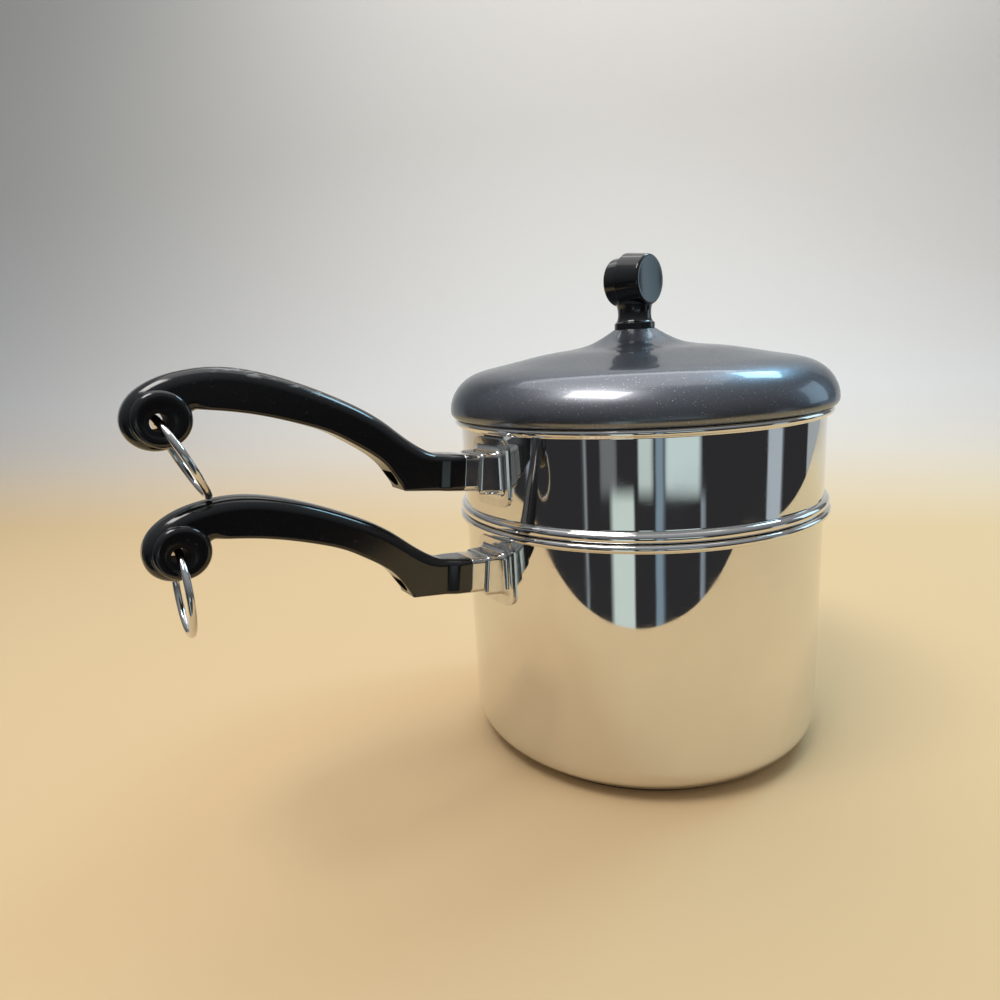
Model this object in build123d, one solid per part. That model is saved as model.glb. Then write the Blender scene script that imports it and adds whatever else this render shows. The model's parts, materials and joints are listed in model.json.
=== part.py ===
from build123d import *
import math
import os

# A stovetop double boiler: a covered upper pan nests in the rim of a lower pan.
# Millimetres, +Z up. The origin is the centre of the flat base, and both handles run along -X.

# Lower pan
pan_radius = 82.1
sheet = 1.0
lower_pan_height = 108.9
pan_corner = 14.0
roll_height = 3.2
roll_reach = 3.0
rim_rounding = 1.2
# Rounding of a rolled edge, as a share of its height.
roll_rounding_share = 0.47
wall_blend = 0.8

# Cladding under the lower pan
cladding_thickness = 1.6
cladding_inset = 10.4
cladding_rounding = 1.1

# Upper pan
bead_height = 4.5
bead_reach = 2.3
upper_wall_height = 38.5
upper_roll_height = 3.0
upper_roll_reach = 2.8
cup_depth = 65.5
cup_clearance = 1.7
cup_corner = 12.0
bead_blend = 1.0

# Lid
lid_sheet = 0.9
lid_radius = 86.6
lid_rise = 35.9
lid_hem = 3.2
lid_skirt_depth = 5.0
lid_skirt_clearance = 0.7
lid_skirt_blend = 0.3
# Crown outline from the hem to the knob seat, as shares of the lid's radius and of its rise.
lid_crown_shares = [(0.977, 0.298), (0.906, 0.482), (0.722, 0.618), (0.435, 0.749), (0.223, 0.842)]
# Drop of the crown's inner face below its outer face, as a share of the sheet.
lid_crown_drop_share = 0.9
# Rise of the crown where it meets the knob's foot, for each length inwards.
lid_crown_slope_share = 0.6

# Knob
knob_foot_radius = 9.1
knob_foot_height = 3.4
knob_neck_radius = 7.2
knob_waist_height = 2.6
knob_shoulder_radius = 8.0
knob_flare_share = 0.3
knob_axis_height = 21.0
# How far below the barrel's axis the neck ends inside it, as a share of the back radius.
knob_neck_end_share = 0.6
# The barrel that the fingers hold: a full front half, a slightly smaller back half,
# and a dished face on each end.
barrel_width = 16.8
barrel_front_radius = 12.4
barrel_front_end_radius = 11.4
barrel_back_radius = 11.9
barrel_back_end_radius = 11.5
barrel_parting = 0.8
barrel_rounding = 1.0
barrel_step_rounding = 0.2
dish_radius = 9.8
dish_depth = 0.6
knob_turn = 12.5

# Knob fastening
knob_screw_radius = 1.5
knob_screw_head_radius = 4.0
knob_screw_head_height = 2.4
knob_screw_reach = 11.0
knob_insert_radius = 3.6
knob_insert_length = 9.5
knob_insert_depth = 0.5
knob_hole_depth = 12.0
knob_washer_radius = 5.6
knob_washer_thickness = 0.9
thread_clearance = 0.05
hole_clearance = 0.3

# Handle axes and brackets
handle_tilt = 7.0
weld_gap = 0.1
bracket_sheet = 1.2
flange_width = 24.6
flange_corner = 4.5
# Bare wall that the flanges leave free: below each rolled rim, and above the upper pan's bead.
lower_flange_gap = 1.2
upper_flange_gap = 2.0
flange_foot_gap = 5.5
block_width = 19.4
block_height = 18.0
block_corner = 2.6
block_length = 10.5
block_draft = 3.0
block_blend = 2.4
# Most of the flange's bare border that the blend may take.
block_blend_share = 0.9
block_rounding = 1.4

# Ferrule between bracket and handle
ferrule_length = 6.4
ferrule_wall = 1.2
ferrule_corner = 2.2
ferrule_rounding = 0.5

# Handle
handle_reach = 108.2
hole_drop = 18.1
grip_crest = 35.8
end_top = 7.6
end_bottom = 6.9
end_half_width = 7.8
end_length = 5.0
flare_length = 6.0
grip_half_width = 6.0
handle_crown = 2.2
end_block_length = 22.0
end_block_bottom = 6.1
# Top of the handle from the bracket end to the scroll, as shares of its reach and its crest.
grip_top_shares = [
    (0.129, 0.240), (0.174, 0.304), (0.237, 0.418), (0.298, 0.540), (0.470, 0.779), (0.677, 0.961),
    (0.862, 1.0), (0.949, 0.943),
]
# Slope of the top where it leaves the bracket end and where it enters the scroll.
end_rise_share = 0.03
grip_fall_share = -0.3
# How much of a straight edge's direction lies along the handle, for it to be rounded over.
alignment_share = 0.9
# Underside from the scroll back to the end block, as shares of the reach and the crest.
grip_under_shares = [
    (0.739, 0.595), (0.580, 0.505), (0.481, 0.416), (0.420, 0.330), (0.357, 0.229),
    (0.324, 0.166), (0.290, 0.078), (0.263, -0.020), (0.246, -0.092),
]
scroll_radius = 11.6
# Turn of the scroll round its boss: degrees, and share of the scroll radius.
scroll_turn_shares = [
    (67, 0.97), (30, 0.93), (-10, 0.98), (-40, 0.98), (-82, 0.89), (-125, 0.82), (-165, 0.8),
]
notch_radius = 2.0
notch_height = 22.3
boss_radius = 8.9
boss_set_back = 0.8
boss_lift = 1.0
boss_half_width = 8.3
boss_rounding = 1.2
ring_hole_radius = 2.85
ring_hole_chamfer = 0.2

# Handle fastening
handle_screw_radius = 2.0
handle_screw_head_radius = 3.6
handle_screw_head_height = 2.4
handle_screw_seat = 16.0
handle_bore_radius = 2.4
pocket_radius = 4.4
# The screw's pocket opens through the underside; its end is a share of the handle's reach.
pocket_reach_share = 0.277
washer_radius = 3.9
washer_thickness = 1.0
nut_width = 11.0
nut_height = 10.0
nut_thickness = 5.0
slot_width = 1.0
slot_depth = 1.0

# Hanging rings
wire_radius = 1.25
ring_radius = 14.6
ring_gap = 0.4
ring_rest_gap = 0.3
# Steps of the search for the upper ring's lean end at this many degrees.
lean_tolerance_share = 0.01

overrun = 5.0


def turned(face):
    """Body of revolution about the pan axis from a face drawn as (radius, height)."""
    return revolve(Plane.XZ * face, Axis.Z)


def rounded_face(corners):
    """Closed face through corners given as (x, y, rounding)."""
    points = [(x, y) for x, y, rounding in corners]
    roundings = [rounding for x, y, rounding in corners]
    return make_face(FilletPolyline(*points, radius=roundings, close=True))


def two_arcs(start, finish, leave, arrive):
    """Two tangent arcs between points that leave and arrive along unit directions."""
    chord = finish - start
    slope = chord.dot(leave + arrive)
    turn = 2 - 2 * leave.dot(arrive)
    reach = chord.dot(chord) / (slope + math.sqrt(slope ** 2 + turn * chord.dot(chord)))
    middle = (start + finish + (leave - arrive) * reach) / 2
    first = TangentArc(start, middle, tangent=leave)
    return [first, TangentArc(middle, finish, tangent=first % 1)]


def arcs_through(points, start, end):
    """Tangent arcs through points that leave along the start direction and arrive along the end direction."""
    stops = [Vector(*point) for point in points]
    tangents = [Vector(*start).normalized(), Vector(*end).normalized()]
    guide = Spline(*stops, tangents=tangents, tangent_scalars=[1, 1])
    ways = [guide.tangent_at(stop) for stop in stops]
    arcs = []
    for index in range(len(stops) - 1):
        arcs += two_arcs(*stops[index:index + 2], *ways[index:index + 2])
    return arcs


def along(direction, base, radius, length):
    """Cylinder of a length that starts at a base point and runs along a direction."""
    return extrude(Plane(base, z_dir=direction) * Circle(radius), length)


def crosswise(centre, sketch, half_width, x_dir=None):
    """Solid of a sketch drawn round a centre, as wide to both sides of the handles' mid-plane."""
    start = Plane(Vector(*centre) - Vector(0, half_width, 0), x_dir=x_dir, z_dir=(0, 1, 0))
    return extrude(start * sketch, 2 * half_width)


lower_bottom = cladding_thickness
seat_height = lower_bottom + lower_pan_height
bead_top = seat_height + bead_height
rim_height = bead_top + upper_wall_height
pan_inside = pan_radius - sheet
cup_radius = pan_inside - cup_clearance
cup_bottom = seat_height - cup_depth
knob_seat = rim_height + lid_rise
flange_height = upper_wall_height - upper_roll_height - upper_flange_gap - flange_foot_gap
lower_handle_height = seat_height - roll_height - lower_flange_gap - flange_height / 2
upper_handle_height = rim_height - upper_roll_height - upper_flange_gap - flange_height / 2


def make_base_cladding():
    radius = pan_radius - cladding_inset
    return turned(rounded_face([
        (0, 0, 0),
        (radius, 0, cladding_rounding),
        (radius, cladding_thickness, 0),
        (0, cladding_thickness, 0),
    ]))


def make_lower_pan():
    roll_radius = pan_radius + roll_reach
    roll_bottom = seat_height - roll_height
    roll_rounding = roll_height * roll_rounding_share
    return turned(rounded_face([
        (0, lower_bottom, 0),
        (pan_radius, lower_bottom, pan_corner),
        (pan_radius, roll_bottom, wall_blend),
        (roll_radius, roll_bottom, roll_rounding),
        (roll_radius, seat_height, roll_rounding),
        (pan_inside, seat_height, rim_rounding),
        (pan_inside, lower_bottom + sheet, pan_corner - sheet),
        (0, lower_bottom + sheet, 0),
    ]))


def make_upper_pan():
    cup_inside = cup_radius - sheet
    bead_radius = pan_radius + bead_reach
    bead_rounding = bead_height * roll_rounding_share
    groove_rounding = (bead_height - sheet - sheet) * roll_rounding_share
    roll_radius = pan_radius + upper_roll_reach
    roll_bottom = rim_height - upper_roll_height
    roll_rounding = upper_roll_height * roll_rounding_share
    return turned(rounded_face([
        (0, cup_bottom, 0),
        (cup_radius, cup_bottom, cup_corner),
        (cup_radius, seat_height, bead_blend),
        (bead_radius, seat_height, bead_rounding),
        (bead_radius, bead_top, bead_rounding),
        (pan_radius, bead_top, wall_blend),
        (pan_radius, roll_bottom, wall_blend),
        (roll_radius, roll_bottom, roll_rounding),
        (roll_radius, rim_height, roll_rounding),
        (pan_inside, rim_height, rim_rounding),
        (pan_inside, bead_top - sheet, 0),
        (bead_radius - sheet, bead_top - sheet, groove_rounding),
        (bead_radius - sheet, seat_height + sheet, groove_rounding),
        (cup_inside, seat_height + sheet, bead_blend),
        (cup_inside, cup_bottom + sheet, cup_corner - sheet),
        (0, cup_bottom + sheet, 0),
    ]))


def lid_line(inset):
    """Outline of the lid's sheet, moved into the sheet by an inset."""
    skirt = pan_inside - lid_skirt_clearance - inset
    seat = rim_height + inset
    edge = lid_radius - inset
    hem = lid_hem - inset
    flat_end = edge - hem
    skirt_line = FilletPolyline(
        (skirt, rim_height - lid_skirt_depth), (skirt, seat), (flat_end, seat), radius=lid_skirt_blend
    )
    hem_line = RadiusArc((flat_end, seat), (edge, seat + hem), -hem)
    crown = [(edge, seat + hem)]
    crown += [
        (
            lid_radius * radius - inset * (1 - rise),
            rim_height + lid_rise * rise - inset * lid_crown_drop_share,
        )
        for radius, rise in lid_crown_shares
    ]
    crown += [(knob_foot_radius, knob_seat - inset)]
    crown_arcs = arcs_through(crown, (0, 1), (-1, lid_crown_slope_share))
    return [*skirt_line.edges(), hem_line, *crown_arcs]


def make_lid():
    hole = knob_screw_radius + hole_clearance
    outer = lid_line(0)
    inner = lid_line(lid_sheet)
    foot = rim_height - lid_skirt_depth
    skirt_outside = pan_inside - lid_skirt_clearance
    section = [
        *outer,
        Line((knob_foot_radius, knob_seat), (hole, knob_seat)),
        Line((hole, knob_seat), (hole, knob_seat - lid_sheet)),
        Line((hole, knob_seat - lid_sheet), (knob_foot_radius, knob_seat - lid_sheet)),
        *inner,
        Line((skirt_outside - lid_sheet, foot), (skirt_outside, foot)),
    ]
    return turned(make_face(section))


def make_barrel():
    """Barrel of the knob about the x axis, with its front end towards +x."""
    end = barrel_width / 2
    floor = end - dish_depth
    dish_ball = (dish_radius ** 2 + dish_depth ** 2) / (2 * dish_depth)
    outside = FilletPolyline(
        (-end, dish_radius), (-end, barrel_back_end_radius), (-barrel_parting, barrel_back_radius),
        (-barrel_parting, barrel_front_radius), (end, barrel_front_end_radius), (end, dish_radius),
        radius=[barrel_rounding, 0, barrel_step_rounding, barrel_rounding],
    )
    return revolve(make_face([
        *outside.edges(),
        RadiusArc((end, dish_radius), (floor, 0), -dish_ball),
        Line((floor, 0), (-floor, 0)),
        RadiusArc((-floor, 0), (-end, dish_radius), -dish_ball),
    ]), Axis.X)


def make_knob():
    axis_height = knob_seat + knob_axis_height
    foot_top = knob_seat + knob_foot_height
    waist = (knob_neck_radius, foot_top + knob_waist_height)
    shoulder = (knob_shoulder_radius, axis_height - barrel_back_radius + barrel_rounding)
    neck_top = axis_height - barrel_back_radius * knob_neck_end_share
    stem = Polyline(
        shoulder, (knob_shoulder_radius, neck_top), (0, neck_top), (0, knob_seat),
        (knob_foot_radius, knob_seat), (knob_foot_radius, foot_top), (knob_neck_radius, foot_top), waist,
    )
    flare = arcs_through([waist, shoulder], (0, 1), (knob_flare_share, 1))
    neck = turned(make_face([*stem.edges(), *flare]))
    barrel = Pos(0, 0, axis_height) * Rot(Z=-90) * make_barrel()

    bore = along((0, 0, 1), (0, 0, knob_seat), knob_screw_radius + hole_clearance, knob_hole_depth)
    insert_space = along(
        (0, 0, 1), (0, 0, knob_seat + knob_insert_depth), knob_insert_radius, knob_insert_length
    )
    return Rot(Z=knob_turn) * (neck + barrel - bore - insert_space)


def make_knob_insert():
    base = (0, 0, knob_seat + knob_insert_depth)
    sleeve = along((0, 0, 1), base, knob_insert_radius, knob_insert_length)
    return sleeve - along((0, 0, 1), base, knob_screw_radius + thread_clearance, knob_insert_length)


def make_knob_washer():
    base = (0, 0, knob_seat - lid_sheet)
    disc = along((0, 0, -1), base, knob_washer_radius, knob_washer_thickness)
    return disc - along((0, 0, -1), base, knob_screw_radius + hole_clearance, knob_washer_thickness)


def slotted_screw(direction, seat, shank_radius, shank_length, head_radius, head_height, slot_direction):
    """Screw whose head rests on a seat point, with its shank along a direction."""
    back = Vector(*direction) * -1
    head = along(back, seat, head_radius, head_height)
    head = fillet(head.edges().filter_by(GeomType.CIRCLE).sort_by_distance(seat)[-1], head_height / 3)
    shank = along(direction, seat, shank_radius, shank_length)
    top = Vector(*seat) + back * head_height
    slot = Plane(top, x_dir=slot_direction, z_dir=back) * Box(
        head_radius * 3, slot_width, slot_depth * 2
    )
    return head + shank - slot


def make_knob_screw():
    seat = (0, 0, knob_seat - lid_sheet - knob_washer_thickness)
    length = knob_screw_reach + lid_sheet + knob_washer_thickness
    return slotted_screw(
        (0, 0, 1), seat, knob_screw_radius, length, knob_screw_head_radius, knob_screw_head_height, (1, 0, 0)
    )


tilt = math.radians(handle_tilt)
outward = Vector(-math.cos(tilt), 0, math.sin(tilt))
upward = Vector(math.sin(tilt), 0, math.cos(tilt))
ferrule_start = block_length
handle_start = block_length + ferrule_length


def on_axis(height, distance, lift=0):
    """Point at a distance along a handle's axis from the pan wall, lifted square to the axis."""
    return Vector(-pan_radius, 0, height) + outward * distance + upward * lift


def cross_plane(height, distance, lift=0):
    """Plane square to the handle's axis, facing outward, with its y axis up."""
    return Plane(on_axis(height, distance, lift), x_dir=(0, -1, 0), z_dir=outward)


def on_side(height, point):
    """Point of the handle's mid-plane given from its end face: along the handle's axis, and up."""
    return on_axis(height, handle_start + point[0], point[1])


def make_bracket(height):
    inside = pan_radius + weld_gap
    outside = inside + bracket_sheet
    wall_plane = Plane((0, 0, height), x_dir=(0, 1, 0), z_dir=(-1, 0, 0))
    outline = RectangleRounded(flange_width, flange_height, flange_corner)
    patch = extrude(wall_plane * outline, outside + overrun)
    flange = patch & (Pos(0, 0, height) * Cylinder(outside, flange_height * 2))
    root = -overrun
    block = extrude(
        cross_plane(height, root) * RectangleRounded(block_width, block_height, block_corner),
        block_length - root, taper=block_draft,
    )
    shape = flange + block
    meeting = [
        edge for edge in shape.edges()
        if abs(math.hypot(edge.center().X, edge.center().Y) - outside) < bracket_sheet
        and abs(edge.center().Y) < flange_width / 2 - flange_corner / 2
        and abs(edge.center().Z - height) < flange_height / 2 - flange_corner / 2
    ]
    border = (flange_height - block_height) / 2
    shape = fillet(meeting, min(block_blend, border * block_blend_share))
    front = shape.faces().sort_by(Axis(on_axis(height, 0), outward))[-1]
    shape = fillet(front.edges(), block_rounding)
    hollow = extrude(
        cross_plane(height, root) * RectangleRounded(
            block_width - 2 * bracket_sheet, block_height - 2 * bracket_sheet, block_corner - bracket_sheet
        ),
        block_length - bracket_sheet - root, taper=block_draft,
    )
    shape -= hollow
    shape -= Pos(0, 0, height) * Cylinder(inside, flange_height * 2)
    shape -= along(
        outward, on_axis(height, 0), handle_screw_radius + hole_clearance, block_length + overrun
    )
    return shape


def make_bracket_nut(height):
    start = block_length - bracket_sheet - nut_thickness
    plate = extrude(cross_plane(height, start) * Rectangle(nut_width, nut_height), nut_thickness)
    return plate - along(
        outward, on_axis(height, start), handle_screw_radius + thread_clearance, nut_thickness
    )


def end_section(inset):
    """Section of the handle's bracket end, set in from its outline by an inset."""
    width = 2 * (end_half_width - inset)
    tall = end_top + end_bottom - 2 * inset
    return RectangleRounded(width, tall, ferrule_corner - inset)


def make_ferrule(height):
    middle = (end_top - end_bottom) / 2
    sleeve = extrude(cross_plane(height, ferrule_start, middle) * end_section(0), ferrule_length)
    ends = sleeve.faces().sort_by(Axis(on_axis(height, 0), outward))
    sleeve = fillet(ends[0].edges() + ends[-1].edges(), ferrule_rounding)
    sleeve -= extrude(
        cross_plane(height, ferrule_start, middle) * end_section(ferrule_wall), ferrule_length - ferrule_wall
    )
    return sleeve - along(
        outward, on_axis(height, ferrule_start), handle_screw_radius + hole_clearance, ferrule_length
    )


boss_centre = (handle_reach - boss_set_back, hole_drop + boss_lift)


def handle_outline():
    """Side outline of the handle in its mid-plane."""
    flare_end = end_length + flare_length
    end_line = Line((0, end_top), (flare_end, end_top + end_rise_share * flare_end))
    crest = [end_line @ 1]
    crest += [(handle_reach * out, grip_crest * up) for out, up in grip_top_shares]
    scroll_entry = (1, grip_fall_share)
    scroll = [crest[-1]]
    scroll += [
        (
            boss_centre[0] + scroll_radius * share * math.cos(math.radians(turn)),
            boss_centre[1] + scroll_radius * share * math.sin(math.radians(turn)),
        )
        for turn, share in scroll_turn_shares
    ]
    notch_start = (boss_centre[0] - boss_radius, notch_height - notch_radius)
    notch_end = (notch_start[0] - notch_radius, notch_height)
    scroll += [notch_start]
    bottom_line = Line((end_block_length, -end_block_bottom), (0, -end_bottom))
    underside = [notch_end]
    underside += [(handle_reach * out, grip_crest * up) for out, up in grip_under_shares]
    underside += [bottom_line @ 0]
    return make_face([
        end_line,
        *arcs_through(crest, end_line % 1, scroll_entry),
        *arcs_through(scroll, scroll_entry, (0, 1)),
        RadiusArc(notch_start, notch_end, -notch_radius),
        *arcs_through(underside, (-1, 0), bottom_line % 0),
        bottom_line,
        Line((0, -end_bottom), (0, end_top)),
    ])


def handle_plan():
    """Half widths of the handle along its axis: flared at the bracket, slim along the grip."""
    flare_end = end_length + flare_length
    narrowing = end_half_width - grip_half_width
    flare_radius = (flare_length ** 2 + narrowing ** 2) / (4 * narrowing)
    middle = (end_length + flare_length / 2, grip_half_width + narrowing / 2)
    tail = handle_reach + scroll_radius * 2
    side = [
        Line((0, end_half_width), (end_length, end_half_width)),
        RadiusArc((end_length, end_half_width), middle, flare_radius),
        RadiusArc(middle, (flare_end, grip_half_width), -flare_radius),
        Line((flare_end, grip_half_width), (tail, grip_half_width)),
    ]
    other_side = [mirror(edge, Plane.XZ) for edge in side]
    ends = [
        Line((0, -end_half_width), (0, end_half_width)),
        Line((tail, -grip_half_width), (tail, grip_half_width)),
    ]
    return make_face(side + other_side + ends)


def crowned(body):
    """Body with the edges that run along the handle rounded over."""
    long_edges = [
        edge for edge in body.edges()
        if edge.geom_type != GeomType.LINE or abs((edge % 0.5).dot(outward)) > alignment_share
    ]
    return fillet(long_edges, handle_crown)


def make_handle(height):
    end_centre = on_side(height, (0, 0))
    depth = grip_crest + scroll_radius
    plan_plane = Plane(on_side(height, (0, -depth)), x_dir=outward, z_dir=upward)
    body = crosswise(end_centre, handle_outline(), end_half_width + overrun, x_dir=outward)
    body = crowned(body & extrude(plan_plane * handle_plan(), 2 * depth))

    boss = crosswise(on_side(height, boss_centre), Circle(boss_radius), boss_half_width)
    body += fillet(boss.edges().filter_by(GeomType.CIRCLE), boss_rounding)
    hole_centre = ring_hole(height)
    body -= crosswise(hole_centre, Circle(ring_hole_radius), boss_half_width + overrun)
    for way in (-1, 1):
        mouth = Plane(hole_centre + Vector(0, way * boss_half_width, 0), z_dir=(0, -way, 0))
        body -= extrude(mouth * Circle(ring_hole_radius + ring_hole_chamfer), ring_hole_chamfer, taper=45)

    pocket_end = handle_reach * pocket_reach_share
    body -= along(outward, end_centre, handle_bore_radius, pocket_end)
    body -= along(
        outward, on_side(height, (handle_screw_seat, 0)), pocket_radius, pocket_end - handle_screw_seat
    )
    return body


def ring_hole(height):
    """Centre of the hanging ring's hole in a handle."""
    return on_side(height, (handle_reach, hole_drop))


def make_handle_washer(height):
    base = on_axis(height, handle_start + handle_screw_seat)
    disc = along(outward, base, washer_radius, washer_thickness)
    return disc - along(outward, base, handle_screw_radius + hole_clearance, washer_thickness)


def make_handle_screw(height):
    seat = on_axis(height, handle_start + handle_screw_seat + washer_thickness)
    tip = block_length - bracket_sheet - nut_thickness
    length = handle_start + handle_screw_seat + washer_thickness - tip
    return slotted_screw(
        tuple(outward * -1), tuple(seat), handle_screw_radius, length,
        handle_screw_head_radius, handle_screw_head_height, (0, 1, 0),
    )


def ring_drop():
    """Distance from the hole's axis to the centre of a ring whose wire hangs on both mouths of the hole."""
    sag = ring_radius - math.sqrt(ring_radius ** 2 - boss_half_width ** 2)
    return ring_radius - sag / 2


def resting_lean():
    """Lean towards the pan at which the upper ring's end lies on the crest of the lower handle."""
    outline = handle_outline()
    tip = ring_drop() + ring_radius
    pitch = upper_handle_height - lower_handle_height
    hole = Vector(handle_reach + pitch * math.sin(tilt), hole_drop + pitch * math.cos(tilt))
    least, most = 0, 90
    while most - least > lean_tolerance_share:
        lean = (least + most) / 2
        turn = math.radians(lean) + tilt
        end = Vertex(hole - Vector(math.sin(turn), math.cos(turn)) * tip)
        if end.distance_to(outline) < wire_radius + ring_rest_gap:
            least = lean
        else:
            most = lean
    return most


def make_hanging_ring(height, lean):
    """Split wire ring through a handle's hole, leaning from straight down towards the pan."""
    hang = Vector(math.sin(math.radians(lean)), 0, -math.cos(math.radians(lean)))
    centre = ring_hole(height) + hang * ring_drop()
    axis_direction = hang.cross(Vector(0, 1, 0))
    gap_turn = math.degrees(ring_gap / ring_radius)
    start = Plane(centre, x_dir=hang * -1, z_dir=axis_direction) * Rot(Z=gap_turn / 2)
    wire = start * (Pos(ring_radius, 0, 0) * (Rot(X=90) * Circle(wire_radius)))
    return revolve(wire, Axis(centre, axis_direction), 360 - gap_turn)


def main():
    parts = {
        "base_cladding": make_base_cladding(),
        "lower_pan": make_lower_pan(),
        "upper_pan": make_upper_pan(),
        "lid": make_lid(),
        "knob": make_knob(),
        "knob_insert": make_knob_insert(),
        "knob_washer": make_knob_washer(),
        "knob_screw": make_knob_screw(),
    }
    for name, height, lean in (
        ("lower", lower_handle_height, 0),
        ("upper", upper_handle_height, resting_lean()),
    ):
        parts[name + "_bracket"] = make_bracket(height)
        parts[name + "_bracket_nut"] = make_bracket_nut(height)
        parts[name + "_ferrule"] = make_ferrule(height)
        parts[name + "_handle"] = make_handle(height)
        parts[name + "_handle_washer"] = make_handle_washer(height)
        parts[name + "_handle_screw"] = make_handle_screw(height)
        parts[name + "_hanging_ring"] = make_hanging_ring(height, lean)
        print(name, "ring hole centre", ring_hole(height), "lean", lean)
    os.makedirs("parts", exist_ok=True)
    for name, shape in parts.items():
        export_step(shape, "parts/" + name + ".step")


main()
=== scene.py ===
import json
import math
import bmesh
import bpy
import numpy
from mathutils import Matrix, Vector
from mathutils.geometry import interpolate_bezier


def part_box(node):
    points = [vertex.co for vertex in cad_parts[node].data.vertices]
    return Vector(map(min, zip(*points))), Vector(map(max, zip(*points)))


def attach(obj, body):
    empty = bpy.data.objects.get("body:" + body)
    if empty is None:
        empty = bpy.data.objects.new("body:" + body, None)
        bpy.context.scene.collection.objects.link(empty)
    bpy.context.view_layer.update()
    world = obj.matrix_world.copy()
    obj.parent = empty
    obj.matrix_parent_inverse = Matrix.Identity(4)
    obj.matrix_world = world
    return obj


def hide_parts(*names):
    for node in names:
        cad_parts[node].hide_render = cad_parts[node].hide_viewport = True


# Finish of a stovetop double boiler: mirror-polished pans, a satin lid, black moulded handles and knob.
# Metres, +Z up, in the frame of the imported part. Both handles run along -X. Azimuths are from +X.

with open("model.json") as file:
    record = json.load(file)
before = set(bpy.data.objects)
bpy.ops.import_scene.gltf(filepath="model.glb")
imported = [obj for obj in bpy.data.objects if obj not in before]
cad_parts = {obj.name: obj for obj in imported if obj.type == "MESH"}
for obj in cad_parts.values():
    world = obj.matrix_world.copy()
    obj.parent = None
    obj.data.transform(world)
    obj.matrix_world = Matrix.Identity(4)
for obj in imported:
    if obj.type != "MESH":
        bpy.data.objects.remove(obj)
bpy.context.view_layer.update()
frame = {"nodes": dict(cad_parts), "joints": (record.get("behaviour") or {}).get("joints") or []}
nodes = frame["nodes"]
MM = 0.001

# Pans
pan_radius = 82.1 * MM
sheet = 1.0 * MM
pan_corner = 14.0 * MM
roll_height = 3.2 * MM
roll_reach = 3.0 * MM
rim_rounding = 1.2 * MM
roll_rounding_share = 0.47
wall_blend = 0.8 * MM
bead_height = 4.5 * MM
bead_reach = 2.3 * MM
bead_blend = 1.0 * MM
upper_roll_height = 3.0 * MM
upper_roll_reach = 2.8 * MM
cup_clearance = 1.7 * MM
cup_corner = 12.0 * MM

# Cladding
cladding_inset = 10.4 * MM
cladding_rounding = 1.1 * MM

# Lid
lid_sheet = 0.9 * MM
lid_radius = 86.6 * MM
lid_hem = 3.2 * MM
lid_skirt_clearance = 0.7 * MM
lid_skirt_blend = 0.3 * MM
lid_hem_rounding_share = 0.999
lid_crown_shares = [(0.977, 0.298), (0.906, 0.482), (0.722, 0.618), (0.435, 0.749), (0.223, 0.842)]
lid_crown_drop_share = 0.9
lid_crown_slope_share = 0.6
lid_hole_radius = 1.8 * MM

# Knob
knob_foot_radius = 9.1 * MM
knob_foot_rounding = 0.2 * MM
knob_neck_radius = 7.5 * MM
knob_shoulder_radius = 8.2 * MM
knob_flare_share = 0.3
knob_collar_height = 2.6 * MM
knob_collar_rounding = 0.4 * MM
knob_collar_slope = (-1, 0.3)
knob_waist_reach = 5.8 * MM
knob_root_radius = 7.0 * MM
knob_axis_height = 21.0 * MM
barrel_front_reach = 8.6 * MM
barrel_back_reach = 10.2 * MM
barrel_front_radius = 12.4 * MM
barrel_front_end_radius = 10.9 * MM
barrel_back_radius = 11.0 * MM
barrel_back_end_radius = 10.5 * MM
barrel_back_rounding = 1.6 * MM
back_dish_share = 0.84
barrel_parting = 2.6 * MM
barrel_rounding = 1.0 * MM
barrel_step_rounding = 0.2 * MM
dish_radius = 9.5 * MM
dish_depth = 0.6 * MM
knob_turn = math.radians(12.5)
knob_bore_radius = 3.6 * MM
knob_bore_depth = 10.0 * MM

# Handle: along its own axis from the ferrule, and up
handle_tilt = math.radians(7.0)
handle_reach = 108.2 * MM
hole_drop = 18.1 * MM
grip_crest = 35.8 * MM
end_top = 7.6 * MM
end_bottom = 6.9 * MM
end_half_width = 7.8 * MM
end_length = 5.0 * MM
flare_length = 6.0 * MM
grip_half_width = 6.0 * MM
grip_top_shares = [
    (0.129, 0.240), (0.174, 0.304), (0.237, 0.418), (0.298, 0.540), (0.470, 0.779), (0.677, 0.961),
    (0.862, 1.0), (0.949, 0.943),
]
end_rise_share = 0.03
grip_fall_share = -0.3
scroll_radius = 11.6 * MM
scroll_turn_shares = [
    (67, 0.97), (30, 0.93), (-10, 0.98), (-40, 0.98), (-82, 0.89), (-125, 0.82), (-165, 0.8),
]
notch_radius = 2.0 * MM
notch_rounding_share = 0.98
notch_height = 22.3 * MM
grip_under_shares = [
    (0.739, 0.595), (0.580, 0.505), (0.481, 0.416), (0.420, 0.330), (0.357, 0.229), (0.324, 0.166),
    (0.290, 0.078), (0.258, -0.040),
]
elbow = (24.8 * MM, -6.0 * MM)
elbow_rounding = 0.6 * MM
elbow_arrival = (-0.42, -1)
boss_radius = 8.9 * MM
boss_set_back = 0.8 * MM
boss_lift = 1.0 * MM
boss_half_width = 8.3 * MM
boss_rounding = 2.0 * MM
ring_hole_radius = 2.85 * MM
ring_hole_mouth = 4.3 * MM
ring_hole_sink = 0.7 * MM
bore_radius = 2.4 * MM
pocket_start = 16.0 * MM
pocket_end = 30.0 * MM
pocket_radius = 4.4 * MM
# Stretch of the upper handle, along X, where its crest is rubbed
rubbed_stretch = (-190 * MM, -142 * MM)
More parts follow.
